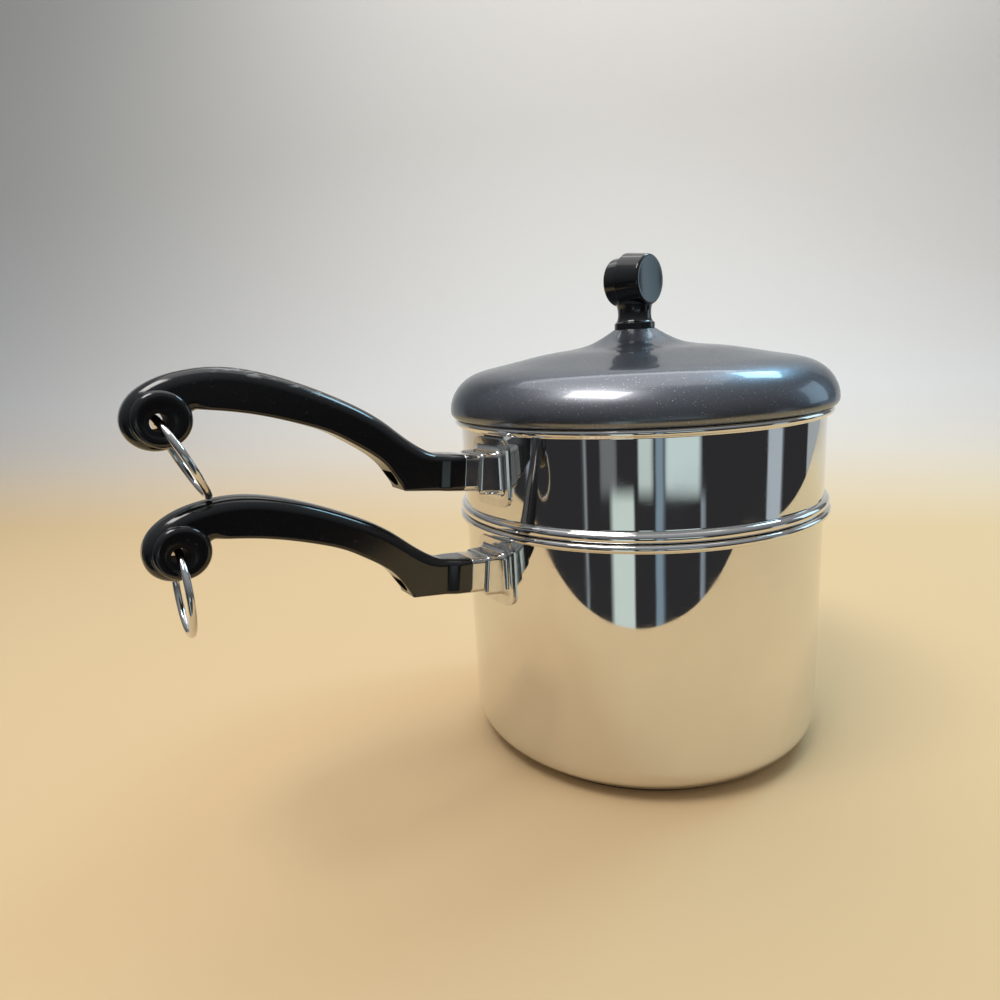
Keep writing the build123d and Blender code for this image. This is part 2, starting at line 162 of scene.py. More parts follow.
# Rounding along the handle: broad over the crest, closer at the ferrule, small on the underside
crest_rounding = 4.4 * MM
end_rounding = 2.2 * MM
under_rounding = 1.3 * MM
end_blend = 16.0 * MM
notch_blend = 9.0 * MM
notch_blend_start = 0.7
# Height of the line between crest and underside over the underside, as a share of the grip's crest
middle_lift_share = 0.1
# Rounding at the elbow, as a share of the elbow's own, and its growth away from there
elbow_edge_share = 0.9
elbow_edge_growth = 0.4
# How far a drill reaches past the surface
overrun = 1.0 * MM

# Heights read from the frame
lower_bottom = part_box("lower_pan")[0].z
seat_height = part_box("lower_pan")[1].z
bead_top = seat_height + bead_height
cup_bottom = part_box("upper_pan")[0].z
rim_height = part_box("upper_pan")[1].z
skirt_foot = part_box("lid")[0].z
knob_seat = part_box("lid")[1].z
lid_rise = knob_seat - rim_height
pan_inside = pan_radius - sheet
cup_radius = pan_inside - cup_clearance

# Camera where the photograph was taken from
camera_place = Vector((-233.4, -241.7, 184.8)) * MM
camera_heading = math.radians(32.66)
camera_pitch = math.radians(12.38)
camera_roll = math.radians(3.16)
camera_lens = 25.16
camera_nearest = 0.01

# Floor: its near edge is just in front of the camera's foot, its sides, given as azimuth and reach, stay
# outside the view, and its far end sweeps up as the backdrop
floor_near = -0.262
floor_far = 1.5
floor_half_width = 2.6
floor_sides = [(-177, 0.55), (-68, 0.50)]
backdrop_height = 2.2
backdrop_sweep = 0.7
floor_tan = (0.80, 0.58, 0.32, 1)
floor_pale = (0.90, 0.88, 0.85, 1)
# Sums of X and Y between which the floor turns pale
floor_turn = (0.5, 1.6)

# Upright panels of the studio, which the polished walls show as streaks: azimuth, width and colour.
# The tall ones stand over the whole wall, the low ones only low down, the high ones only higher up.
tall_panels = [
    (-165, 1.2, (0.40, 0.45, 0.48)), (-120.5, 4.5, (0.22, 0.31, 0.38)), (-47, 12, (0.45, 0.52, 0.58)),
    (-5, 22, (0.40, 0.44, 0.46)), (141, 7, (0.45, 0.47, 0.46)), (157, 4, (0.30, 0.33, 0.40)),
]
low_panels = [(-142.5, 13, (0.62, 0.74, 0.70)), (-95, 1.6, (0.35, 0.42, 0.48))]
high_panels = [
    (-150.5, 9, (0.15, 0.16, 0.17)), (-129, 8, (0.55, 0.66, 0.64)), (-107, 20, (0.60, 0.74, 0.74)),
]
panel_softness = 0.4
# Heights, as Z of a direction, where low panels give way to high ones and the walls to the ceiling
panel_change = (-0.225, -0.200)
wall_top = (-0.09, 0.0)
no_light = (0, 0, 0)
studio_dark = (0.03, 0.03, 0.033)
studio_horizon = (0.10, 0.105, 0.11, 1)
studio_ceiling = (0.42, 0.44, 0.47, 1)

# Steps round the pan axis, round the knob's barrel, in a rounding, along the handle's flare, in a span
# of a flowing line and in the backdrop's sweep
ROUND_STEPS = 288
BARREL_STEPS = 128
ARC_STEPS = 10
FLARE_STEPS = 6
SPAN_STEPS = 14
SWEEP_STEPS = 24

# Distance within which points are one, the smaller ones for slivers and cuts, and the angle up to which
# an edge is smooth
SAME_POINT = 0.001 * MM
SLIVER = 0.0005 * MM
ON_CUT = 0.0001 * MM
SMOOTH_ANGLE = math.radians(32)


def flowing_line(points, start, end):
    """Points of a smooth line through given points that leaves and arrives along directions."""
    # Directions at the stops follow from an even curvature on both sides of each
    stops = numpy.array(points, float)
    gaps = numpy.linalg.norm(numpy.diff(stops, axis=0), axis=1)
    count = len(stops)
    pull = numpy.eye(count)
    wanted = numpy.zeros((count, 2))
    wanted[0] = Vector(start).normalized()
    wanted[-1] = Vector(end).normalized()
    for i in range(1, count - 1):
        before, after = gaps[i - 1], gaps[i]
        pull[i, i - 1:i + 2] = after, 2 * (before + after), before
        rise = after * (stops[i] - stops[i - 1]) / before + before * (stops[i + 1] - stops[i]) / after
        wanted[i] = 3 * rise
    ways = numpy.linalg.solve(pull, wanted)
    line = [tuple(stops[0])]
    for i, gap in enumerate(gaps):
        leave = stops[i] + ways[i] * gap / 3
        arrive = stops[i + 1] - ways[i + 1] * gap / 3
        knots = [Vector((*point, 0)) for point in (stops[i], leave, arrive, stops[i + 1])]
        span = interpolate_bezier(*knots, SPAN_STEPS)
        line += [(p.x, p.y) for p in span[1:]]
    return line


def wire_profile(corners, closed=False):
    """Wire in the XZ plane through corners given as (radius, height, rounding), with the roundings made."""
    shape = bmesh.new()
    verts = [shape.verts.new((radius, 0, height)) for radius, height, rounding in corners]
    for first, second in zip(verts, verts[1:]):
        shape.edges.new((first, second))
    if closed:
        shape.edges.new((verts[-1], verts[0]))
    for vert, (radius, height, rounding) in zip(verts, corners):
        if rounding:
            bmesh.ops.bevel(
                shape, geom=[vert], offset=rounding, offset_type="OFFSET", segments=ARC_STEPS,
                profile=0.5, affect="VERTICES", material=-1,
            )
    return shape


def spun(shape, steps):
    """Full turn of a wire about the Z axis, closed where it meets the axis, with faces outward."""
    bmesh.ops.spin(
        shape, geom=shape.verts[:] + shape.edges[:], cent=(0, 0, 0), axis=(0, 0, 1),
        angle=2 * math.pi, steps=steps, use_merge=True,
    )
    bmesh.ops.remove_doubles(shape, verts=shape.verts[:], dist=SAME_POINT)
    bmesh.ops.recalc_face_normals(shape, faces=shape.faces[:])
    return shape


def add_shape(shape, other):
    """Adds another bmesh to a shape and frees it."""
    mesh = bpy.data.meshes.new("joining")
    other.to_mesh(mesh)
    other.free()
    shape.from_mesh(mesh)
    bpy.data.meshes.remove(mesh)


def even_normals(piece):
    """Keeps flats flat and roundings smooth where they meet."""
    weighted = piece.modifiers.new("even_normals", "WEIGHTED_NORMAL")
    weighted.weight = 100
    weighted.keep_sharp = True


def loose(name, shape, material):
    """Object from a bmesh, with its mesh at the origin."""
    mesh = bpy.data.meshes.new(name)
    shape.to_mesh(mesh)
    shape.free()
    mesh.materials.append(material)
    piece = bpy.data.objects.new(name, mesh)
    bpy.context.scene.collection.objects.link(piece)
    return piece


def finished(name, shape, material, body, node):
    """Smooth piece from a bmesh, which rides on a body and stands for a node of the frame."""
    for edge in shape.edges:
        edge.smooth = len(edge.link_faces) == 2 and edge.calc_face_angle() < SMOOTH_ANGLE
    for face in shape.faces:
        face.smooth = True
    piece = loose(name, shape, material)
    even_normals(piece)
    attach(piece, body)
    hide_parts(node)
    return piece


def merged_copy(node):
    """Bmesh of a frame node's shape with its loose triangles joined."""
    shape = bmesh.new()
    mesh = nodes[node].data.copy()
    for name in ("custom_normal", "sharp_face", "sharp_edge"):
        if name in mesh.attributes:
            mesh.attributes.remove(mesh.attributes[name])
    shape.from_mesh(mesh)
    bpy.data.meshes.remove(mesh)
    bmesh.ops.remove_doubles(shape, verts=shape.verts[:], dist=SAME_POINT)
    bmesh.ops.dissolve_degenerate(shape, edges=shape.edges[:], dist=SLIVER)
    return shape


class Shading:
    """Shader nodes of one tree, added one by one."""

    def __init__(self, tree, coordinates):
        self.tree = tree
        self.place = self.add("ShaderNodeTexCoord").outputs[coordinates]

    def add(self, kind, settings=(), **sockets):
        """Adds a node; each socket, by name or as _ and its number, takes a value or a node's output."""
        node = self.tree.nodes.new(kind)
        for name, value in dict(settings).items():
            setattr(node, name, value)
        for name, value in sockets.items():
            key = int(name[1:]) if name[1:].isdigit() else name.replace("_", " ")
            if isinstance(value, bpy.types.NodeSocket):
                self.tree.links.new(value, node.inputs[key])
            else:
                node.inputs[key].default_value = value
        return node

    def noise(self, scale, detail, place=None):
        """Grey noise with features of about 1 / scale metres."""
        node = self.add("ShaderNodeTexNoise", Vector=place or self.place, Scale=scale, Detail=detail)
        return node.outputs["Fac"]

    def stretched(self, scale, turn):
        """Coordinates turned and stretched for a pattern with a grain."""
        return self.add("ShaderNodeMapping", Vector=self.place, Rotation=turn, Scale=scale).outputs["Vector"]

    def parts(self, vector):
        """X, Y and Z of a vector."""
        return self.add("ShaderNodeSeparateXYZ", Vector=vector).outputs

    def ramp(self, value, low, high, start, end):
        """Value moved from the range low to high into the range start to end."""
        node = self.add(
            "ShaderNodeMapRange", Value=value, From_Min=low, From_Max=high, To_Min=start, To_Max=end,
        )
        return node.outputs["Result"]

    def math(self, operation, first, second):
        """Sum, product or other result of two values."""
        node = self.add("ShaderNodeMath", {"operation": operation}, _0=first, _1=second)
        return node.outputs["Value"]

    def mixed(self, amount, first, second):
        """Colour between two colours."""
        node = self.add("ShaderNodeMix", {"data_type": "RGBA"}, _0=amount, _6=first, _7=second)
        return node.outputs[2]

    def bump(self, height, depth):
        """Bump of a depth in metres."""
        return self.add("ShaderNodeBump", Height=height, Distance=depth, Strength=1.0).outputs["Normal"]


class Finish(Shading):
    """A material with one Principled shader, in object coordinates."""

    def __init__(self, name, constants):
        self.material = bpy.data.materials.new(name)
        self.material.use_nodes = True
        super().__init__(self.material.node_tree, "Object")
        self.shader = self.tree.nodes["Principled BSDF"]
        for socket, value in constants.items():
            self.shader.inputs[socket].default_value = value

    def link(self, output, socket):
        """Leads an output to a socket of the shader."""
        self.tree.links.new(output, self.shader.inputs[socket])


def mirror_steel():
    """Pan steel: a mirror with faint waves, hairlines and smears."""
    finish = Finish("mirror_steel", {"Metallic": 1.0, "IOR": 2.5})
    hairs = finish.noise(260.0, 3.0, finish.stretched((1, 1, 14), (0.5, 0.3, 0.9)))
    smears = finish.noise(55.0, 4.0)
    worn = finish.ramp(smears, 0.45, 0.75, 0.030, 0.075)
    haired = finish.ramp(hairs, 0.62, 0.75, 0.0, 0.07)
    finish.link(finish.math("ADD", worn, haired), "Roughness")
    finish.link(finish.mixed(smears, (0.80, 0.79, 0.77, 1), (0.73, 0.72, 0.70, 1)), "Base Color")
    finish.link(finish.bump(finish.noise(34.0, 1.0), 0.05 * MM), "Normal")
    return finish.material


def satin_steel_painted_shade():
    """Lid steel: satin under a clear gloss, with specks of dust; its colour is painted dark blue-grey,
    painted shade for the dark room it reflects.
    """
    finish = Finish("satin_steel_painted_shade", {
        # The blue specular tint is part of the painted shade: it dims and blues the lid's grazing
        # reflections.
        "Metallic": 1.0, "IOR": 2.5, "Specular Tint": (0.50, 0.56, 0.63, 1),
        "Coat Weight": 0.55, "Coat Roughness": 0.07, "Coat IOR": 1.7,
    })
    cloudy = finish.noise(38.0, 4.0)
    specks = finish.noise(2300.0, 1.0)
    dusty = finish.ramp(specks, 0.71, 0.75, 0.0, 1.0)
    rough = finish.ramp(cloudy, 0.3, 0.7, 0.31, 0.38)
    finish.link(finish.math("ADD", rough, finish.ramp(dusty, 0.0, 1.0, 0.0, 0.15)), "Roughness")
    # Painted shade: the steel's colour is dark blue-grey, far below bare steel, standing for the dark
    # surroundings the lid reflects.
    steel = finish.mixed(cloudy, (0.20, 0.21, 0.235, 1), (0.155, 0.165, 0.185, 1))
    finish.link(finish.mixed(dusty, steel, (0.85, 0.86, 0.88, 1)), "Base Color")
    finish.link(finish.bump(finish.noise(30.0, 1.0), 0.03 * MM), "Normal")
    return finish.material


def black_phenolic(name, rubbed_from=0.0, rubbed_to=0.0):
    """Glossy black moulding, with its upward faces rubbed pale over a stretch of X if one is given."""
    finish = Finish(name, {"Metallic": 0.0, "IOR": 1.6})
    scuffs = finish.noise(420.0, 4.0, finish.stretched((1, 3, 3), (0, 0.2, 0)))
    worn = finish.ramp(scuffs, 0.66, 0.86, 0.0, 1.0)
    specks = finish.ramp(finish.noise(2400.0, 1.0), 0.735, 0.78, 0.0, 1.0)
    worn = finish.math("MAXIMUM", worn, specks)
    black = finish.mixed(worn, (0.006, 0.006, 0.007, 1), (0.045, 0.043, 0.040, 1))
    if rubbed_to > rubbed_from:
        along = finish.parts(finish.place)["X"]
        upward = finish.parts(finish.add("ShaderNodeNewGeometry").outputs["Normal"])["Z"]
        streaks = finish.noise(330.0, 5.0, finish.stretched((0.5, 2, 2), (0, 0.4, 0.3)))
        streaks = finish.ramp(streaks, 0.53, 0.64, 0.0, 1.0)
        spread = finish.ramp(along, rubbed_from, rubbed_from + 8 * MM, 0.0, 1.0)
        spread = finish.math("MULTIPLY", spread, finish.ramp(along, rubbed_to - 14 * MM, rubbed_to, 1.0, 0.0))
        spread = finish.math("MULTIPLY", spread, finish.ramp(upward, 0.35, 0.75, 0.0, 1.0))
        rubbed = finish.math("MULTIPLY", spread, streaks)
        black = finish.mixed(rubbed, black, (0.30, 0.30, 0.30, 1))
        worn = finish.math("MAXIMUM", worn, rubbed)
    finish.link(finish.ramp(worn, 0.0, 1.0, 0.14, 0.42), "Roughness")
    finish.link(black, "Base Color")
    finish.link(finish.bump(finish.noise(90.0, 2.0), 0.02 * MM), "Normal")
    return finish.material


def polished_steel(name, roughness, depth):
    """Bracket, ferrule and ring steel: bright, softened by handling."""
    finish = Finish(name, {"Metallic": 1.0, "IOR": 2.5})
    rubbed = finish.noise(300.0, 4.0)
    finish.link(finish.ramp(rubbed, 0.3, 0.75, roughness, roughness * 2.2), "Roughness")
    finish.link(finish.mixed(rubbed, (0.76, 0.75, 0.73, 1), (0.62, 0.61, 0.60, 1)), "Base Color")
    finish.link(finish.bump(finish.noise(180.0, 2.0), depth), "Normal")
    return finish.material


def dull_metal(name, light, dark, roughness):
    """Cast or machined metal with a mottled finish."""
    finish = Finish(name, {"Metallic": 1.0})
    mottle = finish.noise(500.0, 5.0)
    finish.link(finish.ramp(mottle, 0.3, 0.7, roughness, roughness * 1.5), "Roughness")
    finish.link(finish.mixed(mottle, (*light, 1), (*dark, 1)), "Base Color")
    finish.link(finish.bump(finish.noise(900.0, 3.0), 0.02 * MM), "Normal")
    return finish.material


def make_base_cladding():
    """Aluminium disc under the lower pan, with its lower edge rounded."""
    radius = pan_radius - cladding_inset
    profile = wire_profile([
        (0, 0, 0), (radius, 0, cladding_rounding), (radius, lower_bottom, 0), (0, lower_bottom, 0),
    ])
    finished(
        "cladding_disc", spun(profile, ROUND_STEPS), aluminium, "lower_pan_body",
        "base_cladding",
    )


def make_lower_pan():
    """Lower pan: one sheet with a rolled rim."""
    roll_radius = pan_radius + roll_reach
    roll_bottom = seat_height - roll_height
    roll_rounding = roll_height * roll_rounding_share
    profile = wire_profile([
        (0, lower_bottom, 0),
        (pan_radius, lower_bottom, pan_corner),
        (pan_radius, roll_bottom, wall_blend),
        (roll_radius, roll_bottom, roll_rounding),
        (roll_radius, seat_height, roll_rounding),
        (pan_inside, seat_height, rim_rounding),
        (pan_inside, lower_bottom + sheet, pan_corner - sheet),
        (0, lower_bottom + sheet, 0),
    ])
    finished(
        "lower_pan_shell", spun(profile, ROUND_STEPS), steel, "lower_pan_body", "lower_pan",
    )


def make_upper_pan():
    """Upper pan: a bead that seats on the lower rim, a cup below it and a rolled rim."""
    cup_inside = cup_radius - sheet
    bead_radius = pan_radius + bead_reach
    bead_rounding = bead_height * roll_rounding_share
    groove_rounding = (bead_height - sheet - sheet) * roll_rounding_share
    roll_radius = pan_radius + upper_roll_reach
    roll_bottom = rim_height - upper_roll_height
    roll_rounding = upper_roll_height * roll_rounding_share
    profile = wire_profile([
        (0, cup_bottom, 0),
        (cup_radius, cup_bottom, cup_corner),
        (cup_radius, seat_height, bead_blend),
        (bead_radius, seat_height, bead_rounding),
        (bead_radius, bead_top, bead_rounding),
        (pan_radius, bead_top, wall_blend),
        (pan_radius, roll_bottom, wall_blend),
        (roll_radius, roll_bottom, roll_rounding),
        (roll_radius, rim_height, roll_rounding),
        (pan_inside, rim_height, rim_rounding),
        (pan_inside, bead_top - sheet, 0),
        (bead_radius - sheet, bead_top - sheet, groove_rounding),
        (bead_radius - sheet, seat_height + sheet, groove_rounding),
        (cup_inside, seat_height + sheet, bead_blend),
        (cup_inside, cup_bottom + sheet, cup_corner - sheet),
        (0, cup_bottom + sheet, 0),
    ])
    finished(
        "upper_pan_shell", spun(profile, ROUND_STEPS), steel, "upper_pan_body", "upper_pan",
    )


def lid_line(inset):
    """Corners of the lid's sheet from the skirt's foot to the knob seat, moved into the sheet by an inset."""
    skirt = pan_inside - lid_skirt_clearance - inset
    seat = rim_height + inset
    edge = lid_radius - inset
    hem = lid_hem - inset
    drop = inset * lid_crown_drop_share
    crown = [(edge, seat + hem)]
    crown += [
        (lid_radius * radius - inset * (1 - rise), rim_height + lid_rise * rise - drop)
        for radius, rise in lid_crown_shares
    ]
    crown += [(knob_foot_radius, knob_seat - inset)]
    line = [(skirt, skirt_foot, 0), (skirt, seat, lid_skirt_blend)]
    line += [(edge, seat, hem * lid_hem_rounding_share)]
    dome = flowing_line(crown, (0, 1), (-1, lid_crown_slope_share))
    return line + [(radius, height, 0) for radius, height in dome]


def make_lid():
    """Lid: one sheet with its skirt, hem, crown and screw hole."""
    outer = lid_line(0)
    inner = lid_line(lid_sheet)
    hole = [(lid_hole_radius, knob_seat, 0), (lid_hole_radius, knob_seat - lid_sheet, 0)]
    profile = wire_profile(outer + hole + inner[::-1], closed=True)
    finished("lid_shell", spun(profile, ROUND_STEPS), satin, "lid_body", "lid")


def make_knob():
    """Knob: collar, waist and neck, and a barrel with dished ends that lies across them."""
    axis_height = knob_seat + knob_axis_height
    shoulder = (knob_shoulder_radius, axis_height - barrel_back_radius + barrel_rounding)
    collar = (knob_foot_radius, knob_seat + knob_collar_height)
    waist = (knob_neck_radius, knob_seat + knob_waist_reach)
    side = flowing_line([collar, waist, shoulder], knob_collar_slope, (knob_flare_share, 1))
    neck = wire_profile([
        (0, knob_seat + knob_bore_depth, 0),
        (knob_bore_radius, knob_seat + knob_bore_depth, 0),
        (knob_bore_radius, knob_seat, 0),
        (knob_foot_radius, knob_seat, knob_foot_rounding),
        (*side[0], knob_collar_rounding),
        *((radius, height, 0) for radius, height in side[1:]),
        (knob_root_radius, axis_height, 0),
        (0, axis_height, 0),
    ])
    neck = spun(neck, BARREL_STEPS)

    dish_ball = (dish_radius ** 2 + dish_depth ** 2) / (2 * dish_depth)
    dish = [
        (radius, dish_depth - dish_ball + math.sqrt(dish_ball ** 2 - radius ** 2))
        for radius in numpy.linspace(0, dish_radius, SPAN_STEPS)
    ]
    barrel = wire_profile([
        *((radius * back_dish_share, depth - barrel_back_reach, 0) for radius, depth in dish),
        (barrel_back_end_radius, -barrel_back_reach, barrel_back_rounding),
        (barrel_back_radius, -barrel_parting, 0),
        (barrel_front_radius, -barrel_parting, barrel_step_rounding),
        (barrel_front_end_radius, barrel_front_reach, barrel_rounding),
        *((radius, barrel_front_reach - depth, 0) for radius, depth in dish[::-1]),
    ])
    barrel = spun(barrel, BARREL_STEPS)
    lie = Matrix.Rotation(knob_turn, 4, "Z") @ Matrix.Rotation(math.radians(90), 4, "X")
    bmesh.ops.transform(
        barrel, matrix=Matrix.Translation((0, 0, axis_height)) @ lie, verts=barrel.verts[:],
    )
    add_shape(neck, barrel)
    finished("knob_moulding", neck, phenolic, "lid_body", "knob")


def dress(node, name, material, body):
    """Piece with a node's own shape, its triangles joined and its surface smooth."""
    finished(name, merged_copy(node), material, body, node)


def handle_outline():
    """Closed wire of the handle's side outline, in its own axes."""
    flare_end = end_length + flare_length
    boss = (handle_reach - boss_set_back, hole_drop + boss_lift)
    crest = [(flare_end, end_top + end_rise_share * flare_end)]
    crest += [(handle_reach * out, grip_crest * up) for out, up in grip_top_shares]
    scroll = [crest[-1]]
    for turn, share in scroll_turn_shares:
        angle = math.radians(turn)
        reach = scroll_radius * share
        scroll.append((boss[0] + reach * math.cos(angle), boss[1] + reach * math.sin(angle)))
    scroll.append((boss[0] - boss_radius, notch_height - notch_radius))
    under = [(boss[0] - boss_radius - notch_radius, notch_height)]
    under += [(handle_reach * out, grip_crest * up) for out, up in grip_under_shares]
    under.append(elbow)
    corners = [(0, end_top, 0)]
    corners += [(x, z, 0) for x, z in flowing_line(crest, (1, end_rise_share), (1, grip_fall_share))]
    corners += [(x, z, 0) for x, z in flowing_line(scroll, (1, grip_fall_share), (0, 1))[1:]]
    corners.append((boss[0] - boss_radius, notch_height, notch_radius * notch_rounding_share))
    corners += [(x, z, 0) for x, z in flowing_line(under, (-1, 0), elbow_arrival)[:-1]]
    corners += [(*elbow, elbow_rounding), (0, -end_bottom, 0)]
    return wire_profile(corners, closed=True)


def flare(along):
    """Half width of the handle at a distance along its axis."""
    return end_half_width + (grip_half_width - end_half_width) * eased((along - end_length) / flare_length)


def eased(share):
    """Smooth step from 0 to 1."""
    share = min(max(share, 0), 1)
    return share ** 2 * (3 - 2 * share)


def edge_rounding(point):
    """Rounding of the handle's long edges where its outline passes a point."""
    middle = [(0, 0), (elbow[0], 0)]
    middle += [
        (handle_reach * out, grip_crest * (up + middle_lift_share)) for out, up in grip_under_shares[::-1]
    ]
    stations, heights = zip(*middle)
    full = crest_rounding
    if point.z < numpy.interp(point.x, stations, heights):
        notch = handle_reach - boss_set_back - boss_radius
        blend = eased((point.x - notch) / notch_blend + notch_blend_start)
        full = under_rounding + (crest_rounding - under_rounding) * blend
        away = (point.xz - Vector(elbow)).length
        full = min(full, elbow_rounding * elbow_edge_share + away * elbow_edge_growth)
    return end_rounding + (full - end_rounding) * eased((point.x - end_length) / end_blend)


def carved(piece, other, operation):
    """Joins another object to a piece, or cuts it away, for good."""
    cut = piece.modifiers.new("carve", "BOOLEAN")
    cut.object = other
    cut.operation = operation
    cut.solver = "EXACT"
    # Cut faces keep the other object's material
    cut.material_mode = "TRANSFER"
    settle(piece)
    bpy.data.objects.remove(other)


def settle(piece):
    """Makes a piece's modifiers part of its mesh."""
    graph = bpy.context.evaluated_depsgraph_get()
    mesh = bpy.data.meshes.new_from_object(piece.evaluated_get(graph))
    piece.modifiers.clear()
    piece.data = mesh


def handle_body():
    """The handle's bar with its flare and its rounded edges, in its own axes."""
    shape = handle_outline()
    face = bmesh.ops.contextual_create(shape, geom=shape.edges[:])["faces"][0]
    if face.normal.y < 0:
        face.normal_flip()
    rim = [loop.vert.co.copy() for loop in face.loops]
    # Ways inward from the outline, with the end at the ferrule kept flat
    insets = []
    for before, point, after in zip(rim[-1:] + rim[:-1], rim, rim[1:] + rim[:1]):
        arriving = (point - before).normalized().cross((0, 1, 0))
        leaving = (after - point).normalized().cross((0, 1, 0))
        inset = (arriving + leaving) / (1 + arriving.dot(leaving))
        if point.x == 0:
            inset.x = 0
        insets.append(-inset)
    for step in range(ARC_STEPS + 1):
        turn = math.radians(90) * step / ARC_STEPS
        face = bmesh.ops.extrude_discrete_faces(shape, faces=[face])["faces"][0]
        for loop, point, inset in zip(face.loops, rim, insets):
            rounding = edge_rounding(point)
            place = point + inset * rounding * (1 - math.cos(turn))
            place.y = grip_half_width - rounding * (1 - math.sin(turn))
            loop.vert.co = place
    for step in range(FLARE_STEPS + 1):
        station = end_length + flare_length * step / FLARE_STEPS
        bmesh.ops.bisect_plane(
            shape, geom=shape.verts[:] + shape.edges[:] + shape.faces[:], dist=ON_CUT,
            plane_co=(station, 0, 0), plane_no=(1, 0, 0),
        )
    for vert in shape.verts:
        vert.co.y *= flare(vert.co.x) / grip_half_width
    bmesh.ops.mirror(
        shape, geom=shape.verts[:] + shape.edges[:] + shape.faces[:], axis="Y", merge_dist=SAME_POINT,
    )
    bmesh.ops.recalc_face_normals(shape, faces=shape.faces[:])
    return shape


def drilled(piece, centre, corners, axis):
    """Cuts the turned shape of a drill from a piece, about an axis through a centre in the handle's axes."""
    drill = spun(wire_profile(corners), BARREL_STEPS // 2)
    way = Vector(axis).to_track_quat("Z", "Y").to_matrix().to_4x4()
    bmesh.ops.transform(drill, matrix=Matrix.Translation(centre) @ way, verts=drill.verts[:])
    carved(piece, loose("drill", drill, bored_phenolic), "DIFFERENCE")


def handle_shape():
    """Bmesh of a whole handle, in its own axes."""
    body = loose("handle_body", handle_body(), phenolic)
    boss = wire_profile([
        (0, -boss_half_width, 0), (boss_radius, -boss_half_width, boss_rounding),
        (boss_radius, boss_half_width, boss_rounding), (0, boss_half_width, 0),
    ])
    boss = spun(boss, BARREL_STEPS)
    lie = Matrix.Translation((handle_reach - boss_set_back, 0, hole_drop + boss_lift))
    lie = lie @ Matrix.Rotation(math.radians(90), 4, "X")
    bmesh.ops.transform(boss, matrix=lie, verts=boss.verts[:])
    carved(body, loose("boss", boss, phenolic), "UNION")
    reach = boss_half_width + overrun
    neck = boss_half_width - ring_hole_sink
    mouth = ring_hole_mouth + (ring_hole_mouth - ring_hole_radius) / ring_hole_sink * overrun
    drilled(body, (handle_reach, 0, hole_drop), [
        (0, -reach, 0), (mouth, -reach, 0), (ring_hole_radius, -neck, 0),
        (ring_hole_radius, neck, 0), (mouth, reach, 0), (0, reach, 0),
    ], (0, 1, 0))
    drilled(body, (0, 0, 0), [
        (0, -overrun, 0), (bore_radius, -overrun, 0), (bore_radius, pocket_start, 0),
        (pocket_radius, pocket_start, 0), (pocket_radius, pocket_end, 0), (0, pocket_end, 0),
    ], (1, 0, 0))
    shape = bmesh.new()
    shape.from_mesh(body.data)
    bpy.data.objects.remove(body)
    return shape


def make_handle(level):
    """Handle set by its ring hole, which the ring's hinge names."""
    joints = {joint["name"]: joint for joint in frame["joints"]}
    hole = Vector(joints[level + "_ring_swing"]["pos_m"])
    outward = Vector((-math.cos(handle_tilt), 0, math.sin(handle_tilt)))
    upward = Vector((math.sin(handle_tilt), 0, math.cos(handle_tilt)))
    start = hole - outward * handle_reach - upward * hole_drop
    axes = Matrix((outward, upward.cross(outward), upward)).transposed().to_4x4()
    shape = handle_shape()
    bmesh.ops.transform(shape, matrix=Matrix.Translation(start) @ axes, verts=shape.verts[:])
    moulding = finished(
        level + "_handle_moulding", shape, handle_finish[level], level + "_pan_body",
        level + "_handle",
    )
    # The faces that the drills cut have the second material
    moulding.data.materials.append(bored_phenolic)


def make_handle_set(level):
    """A pan's handle with its bracket, ferrule, ring, nut, washer and screw."""
    body = level + "_pan_body"
    make_handle(level)
    dress(level + "_bracket", level + "_bracket_pressing", bracket_steel, body)
    dress(level + "_ferrule", level + "_ferrule_sleeve", bracket_steel, body)
    dress(level + "_hanging_ring", level + "_ring_wire", ring_steel, level + "_ring_body")
    for part in ("_bracket_nut", "_handle_washer", "_handle_screw"):
        paint(level + part, zinc)


def paint(node, material):
    """Gives a node of the frame its material."""
    mesh = nodes[node].data
    mesh.materials.clear()
    mesh.materials.append(material)


def make_camera():
    """Camera with the view of the photograph."""
    camera = bpy.data.objects.new("camera", bpy.data.cameras.new("camera"))
    bpy.context.scene.collection.objects.link(camera)
    camera.data.lens = camera_lens
    camera.data.clip_start = camera_nearest
    facing = (
        Matrix.Rotation(-camera_heading, 4, "Z")
        @ Matrix.Rotation(math.pi / 2 - camera_pitch, 4, "X")
        @ Matrix.Rotation(-camera_roll, 4, "Z")
    )
    camera.matrix_world = Matrix.Translation(camera_place) @ facing
    bpy.context.scene.camera = camera


def compass(azimuth, elevation=0):
    """Direction at an azimuth from +X and an elevation, in degrees."""
    turn, lift = math.radians(azimuth), math.radians(elevation)
    flat = math.cos(lift)
    return Vector((math.cos(turn) * flat, math.sin(turn) * flat, math.sin(lift)))


